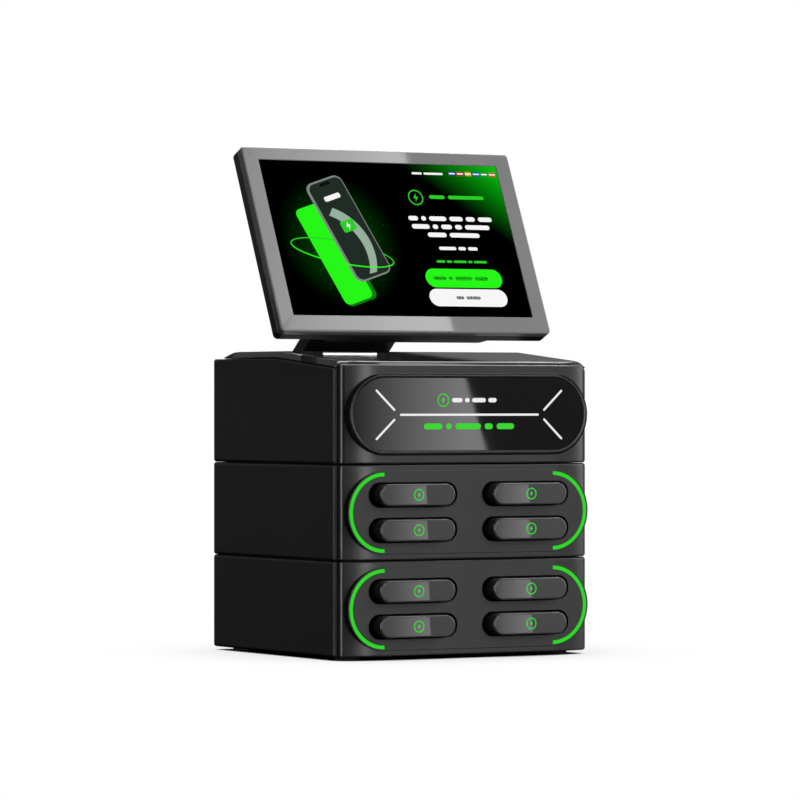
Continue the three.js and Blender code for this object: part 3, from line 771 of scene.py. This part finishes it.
# ---- Display --------------------------------------------------------------------------------------------------
HEAD = Matrix.Translation((0, FACE_Y * MM, FACE_Z * MM)) @ Matrix.Rotation(-TILT, 4, "X")


def on_head(obj):
    """Moves a mesh made in the display's own frame into place. There y is 0 on its face and z is 0 at its low edge."""
    obj.data.transform(HEAD)
    return obj


def face_ring(inset, y):
    """The display's outline, drawn in by an inset."""
    half = FACE_WIDTH / 2 - inset
    return upright(rounded_rect(-half, half, inset, FACE_HEIGHT - inset, max(3.5 - inset / 2, 0.6)), y)


def opening_ring(grow, y):
    """The bezel's opening, made larger by grow."""
    radius = 0.8 + max(grow, 0)
    return upright(
        rounded_rect(-SCREEN_HALF - grow, SCREEN_HALF + grow, SCREEN_LOW - grow, SCREEN_HIGH + grow, radius), y
    )


def display_shells():
    rings = [face_ring(0, 6)]
    rings += [face_ring(i, d) for i, d in reversed(rounding(0, 1.5))]
    rings += [opening_ring(0.35, 0), opening_ring(0, 0.3), opening_ring(0, 3), opening_ring(4, 3), opening_ring(4, 6)]
    frame_obj = on_head(weighted(flatten(skin("display_frame_fine", rings, closed=True), 200)))
    piece(frame_obj, "display", BEZEL, "bezel", "display_frame")

    rings = [face_ring(2.5, 12), face_ring(2.5, 6.3), face_ring(0.3, 6.3), face_ring(0, 6.7)]
    rings += [face_ring(i, 2 * COVER_DEPTH - d) for i, d in reversed(rounding(COVER_DEPTH, 1.8))]
    tub = skin("display_back_cover_fine", rings)
    half, back_half = 82.0, 69.5
    bump_rings = []
    low, high = HOUSING_LOW, 118.0
    for z, shrink in ((low, 1.2), (low + 0.3, 0.5), (low + 1.2, 0), (high - 1.2, 0), (high - 0.3, 0.5), (high, 1.2)):
        back = HOUSING_BACK - shrink
        corners = (
            (half, COVER_DEPTH - 2), (back_half + 2.2, back - 1.6),
            (back_half + 1.0, back - 0.5), (back_half - 1, back),
        )
        outline = [(x - shrink * 0.5, y) for x, y in corners]
        full = outline + [(-x, y) for x, y in reversed(outline)]
        bump_rings.append([(x, y, z) for x, y in full])
    boolean(tub, skin("bump", bump_rings), "UNION")
    for index in range(GRILLE_COUNT):
        place = Vector((GRILLE_X + GRILLE_PITCH * index, HOUSING_BACK - 1.8, GRILLE_Z)) * MM
        slot_cut = stadium_rod("slot", 0, 0, 5, 0.9, 0, 6, 0.05, 0.05, 6)
        slot_cut.data.transform(Matrix.Translation(place) @ Matrix.Rotation(math.radians(90), 4, "Y"))
        boolean(tub, slot_cut)
    piece(on_head(weighted(tub)), "display", HOUSING, "housing", "display_back_cover")


def screen_finish():
    """The lit screen: black, with a green light that spills from its top right corner, and a dim haze on the left."""
    made = Finish("screen", (0.0, 0.0, 0.0), 0.5, Specular_IOR_Level=0.0)
    tree = made.tree
    inverse = HEAD.inverted()
    point = made.place

    def local(row):
        """The point's own coordinate in the display's frame, in millimetres."""
        node = tree.nodes.new("ShaderNodeVectorMath")
        node.operation = "DOT_PRODUCT"
        node.inputs[1].default_value = [inverse[row][i] / MM for i in range(3)]
        tree.links.new(point, node.inputs[0])
        shift = tree.nodes.new("ShaderNodeMath")
        shift.inputs[1].default_value = inverse[row][3] / MM
        tree.links.new(node.outputs["Value"], shift.inputs[0])
        return shift.outputs[0]

    def math_node(operation, a, b):
        node = tree.nodes.new("ShaderNodeMath")
        node.operation = operation
        for socket, value in zip(node.inputs, (a, b)):
            if isinstance(value, (int, float)):
                socket.default_value = value
            else:
                tree.links.new(value, socket)
        return node.outputs[0]

    x, z = local(0), local(2)
    # Distance past a slanting line from the top edge to the right edge.
    slant = math_node("ADD", math_node("MULTIPLY", x, 0.62), math_node("MULTIPLY", z, 0.78))
    spill = made.map_range(slant, 128, 190, 0, 1)
    curve = math_node("POWER", spill, 1.7)
    dx = math_node("MULTIPLY", math_node("ADD", x, 52), 1 / 48)
    dz = math_node("MULTIPLY", math_node("ADD", z, -80), 1 / 52)
    far = math_node("ADD", math_node("MULTIPLY", dx, dx), math_node("MULTIPLY", dz, dz))
    haze = math_node("MULTIPLY", math_node("POWER", made.map_range(far, 0, 1.5, 1, 0), 2.2), 0.045)
    speck = made.map_range(made.noise(520, 1), 0.68, 0.8, 0, 0.25)
    dust = math_node("MULTIPLY", speck, made.map_range(far, 0.1, 1.3, 0.8, 0))
    total = math_node("ADD", math_node("MULTIPLY", curve, 0.62), math_node("ADD", haze, dust))
    colour = tree.nodes.new("ShaderNodeMix")
    colour.data_type = "RGBA"
    colour.inputs["A"].default_value = (0, 0, 0, 1)
    colour.inputs["B"].default_value = (0.004, 1.0, 0.012, 1)
    tree.links.new(total, colour.inputs["Factor"])
    tree.links.new(colour.outputs["Result"], made.shader.inputs["Emission Color"])
    made.shader.inputs["Emission Strength"].default_value = 1.0
    return made.material


def screen_piece(name, outlines, material, lift=0.0):
    """A flat graphic on the screen, from outlines in the display's own frame."""
    y = 0.3 - lift
    graphic = piece(on_head(filled_outline(name, outlines, y, y + 0.08, 0.01, 0)), "display", material)
    graphic.visible_glossy = False
    return graphic


def turned(outline, x, z, degrees):
    """An outline turned about its own origin and moved to a place."""
    a = math.radians(degrees)
    return [(x + u * math.cos(a) - v * math.sin(a), z + u * math.sin(a) + v * math.cos(a)) for u, v in outline]


def screen_content():
    """A made-up rental screen: a phone with a power bank, language chips, bars for text, and two buttons."""
    white = glow("screen_white", linear(246, 246, 246))
    lime = glow("screen_lime", linear(38, 246, 24))
    deep = glow("screen_deep_green", linear(18, 120, 20))
    mid = glow("screen_mid_green", linear(44, 205, 40))
    dark = glow("screen_dark_glass", linear(34, 44, 38))
    shade = glow("screen_shade", linear(12, 16, 13))
    metal = glow("screen_metal", linear(128, 132, 130))
    pale = glow("screen_pale", linear(150, 176, 158))
    lean = 19

    bank = rounded_rect(-15, 15, -44, 44, 5)
    screen_piece("screen_bank_side", [turned(bank, -57.5, 67.5, lean)], deep)
    screen_piece("screen_bank_face", [turned(rounded_rect(-14, 14, -44, 44, 5), -60.5, 68.5, lean)], lime, 0.02)
    ellipse = lambda a, b, angles: [(a * math.cos(math.radians(t)), b * math.sin(math.radians(t))) for t in angles]
    on_ring = lambda points: turned(points, -52.5, 69.5, -10)
    whole = [on_ring(ellipse(a, b, range(0, 360, 5))) for a, b in ((46, 10.5), (44.9, 9.4))]
    screen_piece("screen_ring_back", whole, mid, 0.03)
    edge = turned(rounded_rect(-18.2, 18.2, -45.5, 45.5, 7), -42.2, 91, lean)
    screen_piece("screen_phone_edge", [edge], metal, 0.04)
    screen_piece("screen_phone_glass", [turned(rounded_rect(-16.6, 16.6, -44, 44, 6), -41.4, 91.2, lean)], dark, 0.05)
    sweep = arc(-30, -20, 44, -38, 52, 20) + arc(-34, -22, 40, 52, -38, 20)
    screen_piece("screen_phone_sweep", [turned(sweep, -45, 96, lean)], pale, 0.06)
    cell = rounded_rect(-6.5, 6.5, -5, 5, 1.6)
    screen_piece("screen_phone_cell", [turned(cell, -41.5, 93.5, lean)], mid, 0.07)
    screen_piece("screen_phone_cell_bolt", [turned(bolt_outline(0, 0, 3.6), -41.5, 93.5, lean)], white, 0.08)
    screen_piece("screen_phone_island", [turned(rounded_rect(-5, 5, -1.3, 1.3, 1.2), -54.5, 130.2, lean)], shade, 0.07)
    screen_piece("screen_phone_clock", [turned(rounded_rect(-8, 8, -2.2, 2.2, 1.6), -50.4, 118.5, lean)], white, 0.07)
    front = ellipse(46, 10.5, range(188, 353, 5)) + ellipse(44.8, 9.3, range(352, 187, -5))
    screen_piece("screen_ring_front", [on_ring(front)], lime, 0.09)

    chips = ((24, 60, 150), (170, 40, 52), (208, 160, 30), (30, 62, 170), (40, 140, 70), (206, 60, 36))
    for number, colour in enumerate(chips, 1):
        x = 63.5 + 7.6 * (number - 1)
        chip = glow(f"screen_chip_{number}", linear(*colour))
        screen_piece(f"screen_chip_{number}", [rounded_rect(x, x + 5.6, 140.8, 144.6, 0.5)], chip, 0.02)
        screen_piece(f"screen_chip_band_{number}", [rounded_rect(x, x + 5.6, 142.1, 143.3, 0.3)], white, 0.04)
    text = lambda label, material, x, z, height, widths, gap: bars(
        label, "display", material, x, z, height, widths, gap, 0.26, HEAD
    )
    text("screen_language", white, 28.5, 142.1, 1.9, (9.5, 18.0), 1.6)
    screen_piece("screen_mark_ring", ring_outlines(26.9, 120.2, 6.9, 1.0), mid, 0.04)
    screen_piece("screen_mark_bolt", [bolt_outline(26.9, 120.2, 3.8)], mid, 0.04)
    text("screen_title", mid, 39.6, 121.0, 3.2, (14.5, 33.5), 3.2)
    text("screen_line_a", white, 15.5, 101.5, 4.0, (9, 4.5, 16, 12.5, 8.5, 13), 2.9)
    text("screen_line_b", white, 17.0, 94.2, 4.0, (16.5, 5, 10, 6.5, 23), 2.9)
    text("screen_line_c", white, 30.0, 86.9, 4.0, (17.5, 28), 2.9)
    text("screen_price", white, 37.5, 74.9, 2.9, (16, 7, 9), 2.0)
    text("screen_link", mid, 32.2, 63.1, 2.1, (8, 5, 12, 4, 12), 1.5)
    screen_piece("screen_button_go", [stadium(54, 48.3, 27.2, 8.3)], lime, 0.04)
    screen_piece("screen_button_end", [stadium(54, 31.0, 28.4, 7.7)], white, 0.04)
    text("screen_go_label", shade, 25.5, 48.3, 3.6, (12, 4, 16, 12.5), 2.2)
    text("screen_end_label", shade, 42.5, 31.0, 2.9, (7.5, 13.5), 1.8)


def display():
    display_shells()
    NODES["display_glass"].data.materials.clear()
    NODES["display_glass"].data.materials.append(screen_finish())
    NODES["display_glass"].visible_glossy = False
    screen_content()


# ---- Stand and the rest ---------------------------------------------------------------------------------------
def stand():
    piece(bevelled("stand_neck", 1.0), "kiosk", HOUSING, "housing", "stand_neck")
    piece(bevelled("hinge_pin", 0.4), "kiosk", STEEL, "steel", "hinge_pin")
    piece(bevelled("tilt_bracket", 0.5), "display", HOUSING, "steel", "tilt_bracket")
    for number in range(1, 5):
        node = f"bracket_screw_{number}"
        piece(bevelled(node, 0.4), "display", STEEL, "steel", node)


def carried_over():
    """CAD nodes whose shape is right keep it and get a finish."""
    finishes = {
        "circuit_board": BOARD, "steel": STEEL, "black_plastic": BLACK, "foot_rubber": RUBBER,
    }
    slots = {row["node"]: row["material_slot"] for row in frame["record"]["subparts"]}
    for node, obj in NODES.items():
        if not obj.hide_render and slots[node] in finishes:
            obj.data.materials.clear()
            obj.data.materials.append(finishes[slots[node]])


# ---- Stage ----------------------------------------------------------------------------------------------------
CAMERA_YAW = math.radians(30.29)
CAMERA_TARGET = Vector((-0.0627, FRONT * MM, 0.200))
CAMERA_DISTANCE = 3.566
LENS = 208.8
LIGHT_TARGET = Vector((0, 0, 0.18))
CARD_DISTANCE = 4.0
MIRROR_DISTANCE = 6.0


def camera():
    data = bpy.data.cameras.new("camera")
    data.lens = LENS
    data.sensor_width = 36
    data.clip_end = 50
    obj = linked("camera", data)
    forward = Vector((math.sin(CAMERA_YAW), math.cos(CAMERA_YAW), 0))
    obj.location = CAMERA_TARGET - forward * CAMERA_DISTANCE
    obj.rotation_euler = (math.radians(90), 0, -CAMERA_YAW)
    bpy.context.scene.camera = obj


def only(obj, **rays):
    """Limits which rays see a stage object."""
    for ray in ("camera", "diffuse", "glossy", "transmission", "shadow"):
        setattr(obj, "visible_" + ray, rays.get(ray, False))


def sheet(name, corners, **rays):
    """A stage sheet that gives off light, with its material's nodes and its emission."""
    mesh = bpy.data.meshes.new(name)
    mesh.from_pydata(corners, [], [(0, 1, 2, 3)])
    obj = linked(name, mesh)
    material = bpy.data.materials.new(name)
    material.use_nodes = True
    mesh.materials.append(material)
    tree = material.node_tree
    tree.nodes.remove(tree.nodes["Principled BSDF"])
    emission = tree.nodes.new("ShaderNodeEmission")
    tree.links.new(emission.outputs[0], tree.nodes["Material Output"].inputs["Surface"])
    only(obj, **rays)
    return obj, tree, emission


def floor():
    """A pale floor that glows evenly, with a painted contact shadow that darkens it where the kiosk stands close over
    it.
    """
    size = 6.0
    corners = [(-size, -size, 0), (size, -size, 0), (size, size, 0), (-size, size, 0)]
    obj, tree, emission = sheet("floor", corners, camera=True)
    # Painted contact shadow: occlusion ramps the floor's glow down to black near the kiosk.
    near = tree.nodes.new("ShaderNodeAmbientOcclusion")
    near.inputs["Distance"].default_value = 0.12
    near.samples = 8
    ramp = tree.nodes.new("ShaderNodeValToRGB")
    ramp.color_ramp.elements[0].position = 0.16
    ramp.color_ramp.elements[0].color = (0.0, 0.0, 0.0, 1)
    ramp.color_ramp.elements[1].position = 0.92
    ramp.color_ramp.elements[1].color = (1.0, 1.0, 1.0, 1)
    middle = ramp.color_ramp.elements.new(0.45)
    middle.color = (0.80, 0.80, 0.80, 1)
    tree.links.new(near.outputs["AO"], ramp.inputs["Fac"])
    tree.links.new(ramp.outputs["Color"], emission.inputs["Color"])


def world():
    """White behind the object for the camera, and a dim studio for everything else."""
    made = bpy.data.worlds.new("studio")
    bpy.context.scene.world = made
    made.use_nodes = True
    tree = made.node_tree
    dim = tree.nodes["Background"]
    dim.inputs["Color"].default_value = (1, 1, 1, 1)
    up = tree.nodes.new("ShaderNodeSeparateXYZ")
    tree.links.new(tree.nodes.new("ShaderNodeTexCoord").outputs["Generated"], up.inputs["Vector"])
    tree.links.new(map_range(tree, up.outputs["Z"], -0.12, 0.05, 0.0, 0.17), dim.inputs["Strength"])
    white = tree.nodes.new("ShaderNodeBackground")
    white.inputs["Color"].default_value = (1, 1, 1, 1)
    path = tree.nodes.new("ShaderNodeLightPath")
    mix = tree.nodes.new("ShaderNodeMixShader")
    tree.links.new(path.outputs["Is Camera Ray"], mix.inputs[0])
    tree.links.new(dim.outputs[0], mix.inputs[1])
    tree.links.new(white.outputs[0], mix.inputs[2])
    tree.links.new(mix.outputs[0], tree.nodes["World Output"].inputs["Surface"])


def direction(yaw, elevation):
    """Unit vector: yaw 0 is towards the front (-Y) and grows to the right (+X), in degrees."""
    a, e = math.radians(yaw), math.radians(elevation)
    return Vector((math.sin(a) * math.cos(e), -math.cos(a) * math.cos(e), math.sin(e)))


def softbox(name, yaw, elevation, distance, size, power, **rays):
    """A rectangular light that faces the kiosk."""
    light = bpy.data.lights.new(name, "AREA")
    light.shape = "RECTANGLE"
    light.size, light.size_y = size
    light.energy = power
    obj = linked(name, light)
    towards = direction(yaw, elevation)
    obj.location = LIGHT_TARGET + towards * distance
    obj.rotation_euler = towards.to_track_quat("Z", "Y").to_euler()
    for ray, seen in rays.items():
        setattr(obj, "visible_" + ray, seen)


def card(name, corners, near, far, near_power, far_power):
    """A glowing sheet that only reflections see: four corners, its light fading from near to far."""
    obj, tree, emission = sheet(name, corners, glossy=True)
    along = Vector(near) - Vector(far)
    dot = tree.nodes.new("ShaderNodeVectorMath")
    dot.operation = "DOT_PRODUCT"
    dot.inputs[1].default_value = along / along.length_squared
    tree.links.new(tree.nodes.new("ShaderNodeTexCoord").outputs["Object"], dot.inputs[0])
    start = Vector(far).dot(along) / along.length_squared
    light = map_range(tree, dot.outputs["Value"], start, start + 1, far_power, near_power)
    tree.links.new(light, emission.inputs["Strength"])


def panel_card(name, yaw, elevation, width, height, power, far_power):
    """A card that faces the kiosk from one side, its light going from power to far_power towards larger yaws."""
    towards = direction(yaw, elevation)
    centre = LIGHT_TARGET + towards * CARD_DISTANCE
    across = Vector((towards.y, -towards.x, 0)).normalized()
    up = across.cross(towards).normalized()
    u, v = across * width / 2, up * height / 2
    corners = [centre - u - v, centre + u - v, centre + u + v, centre - u + v]
    card(name, corners, centre + u, centre - u, power, far_power)


def reflected(point, normal):
    """Where the camera's view of a point goes on to, after a mirror with that normal."""
    eye = bpy.context.scene.camera.location
    view = (Vector(point) - eye).normalized()
    normal = Vector(normal).normalized()
    return Vector(point) + (view - 2 * view.dot(normal) * normal) * MIRROR_DISTANCE


def stage():
    floor()
    world()
    # Card whose near edge shows as a slanting line across the status glass.
    ahead = (0, -1, 0)
    y = FRONT * MM
    top = reflected((-0.0039, y, 0.2168), ahead)
    low = reflected((0.0152, y, 0.1604), ahead)
    slope = (low - top) / (top.z - low.z)
    edge = lambda z: top + slope * (top.z - z)
    side = Vector((-math.cos(CAMERA_YAW), -math.sin(CAMERA_YAW), 0)) * 1.2
    for name, low_z, high_z, reach, power, far_power in (
        ("glass_card", 0.075, 1.2, 0.2, 4.3, 0.2),
        ("bank_card", -0.9, 0.075, 0.64, 2.4, 0.3),
    ):
        corners = [edge(low_z), edge(high_z), edge(high_z) + side, edge(low_z) + side]
        card(name, corners, top, top + side * reach, power, far_power)
    # The same for the tilted bezel.
    normal = (0, -math.cos(TILT), math.sin(TILT))
    head = lambda x, z: HEAD @ Vector((x * MM, 0, z * MM))
    top = reflected(head(26.6, 159.2), normal)
    low = reflected(head(32.2, 2.2), normal)
    beyond = (top - low) * 1.5
    side = reflected(head(-123, 80), normal) - reflected(head(29, 80), normal)
    card(
        "head_card", [low - beyond, top + beyond, top + beyond + side * 1.5, low - beyond + side * 1.5],
        top, top + side, 6.0, 1.4,
    )
    panel_card("left_strip", -70, 8, 0.5, 4.0, 14.0, 14.0)
    # Behind the kiosk, seen in the lid: light through the neck's opening, and a dark flag round it.
    for name, gap, low_z, high_z, xs, power in (
        ("slot_card", 55, 262, 268.1, (8, 73, 73, 8), 3.0),
        ("slot_flag", 60, 250, 285, (-300, -77, 297, -300), 0.0),
    ):
        corners = [Vector((x, REAR + gap, z)) * MM for x, z in zip(xs, (low_z, low_z, high_z, high_z))]
        card(name, corners, corners[0], corners[1], power, power)
    panel_card("overhead", 90, 62, 2.4, 2.4, 4.5, 4.5)
    panel_card("back_top", 148, 46, 2.4, 2.2, 6.0, 14.0)
    softbox("key", 42, 22, 3.2, (2.2, 2.2), 95, glossy=False)
    softbox("front_fill", 6, 6, 3.4, (0.5, 1.8), 22)
    softbox("right_fill", 78, 14, 3.2, (0.9, 1.8), 20)
    softbox("top_light", 160, 72, 2.6, (1.6, 1.6), 24)
    softbox("rear_key", 176, 24, 3.4, (2.0, 1.6), 150, glossy=False)


# ---- Build ----------------------------------------------------------------------------------------------------
camera()
for module in ("lower", "middle"):
    battery_shell(module)
    battery_front(module)
    light_arcs(module)
for bank_number in range(1, 9):
    power_bank(bank_number)
control_shell()
control_front()
lid()
display()
stand()
carried_over()
stage()
bpy.context.scene.view_settings.view_transform = "Standard"
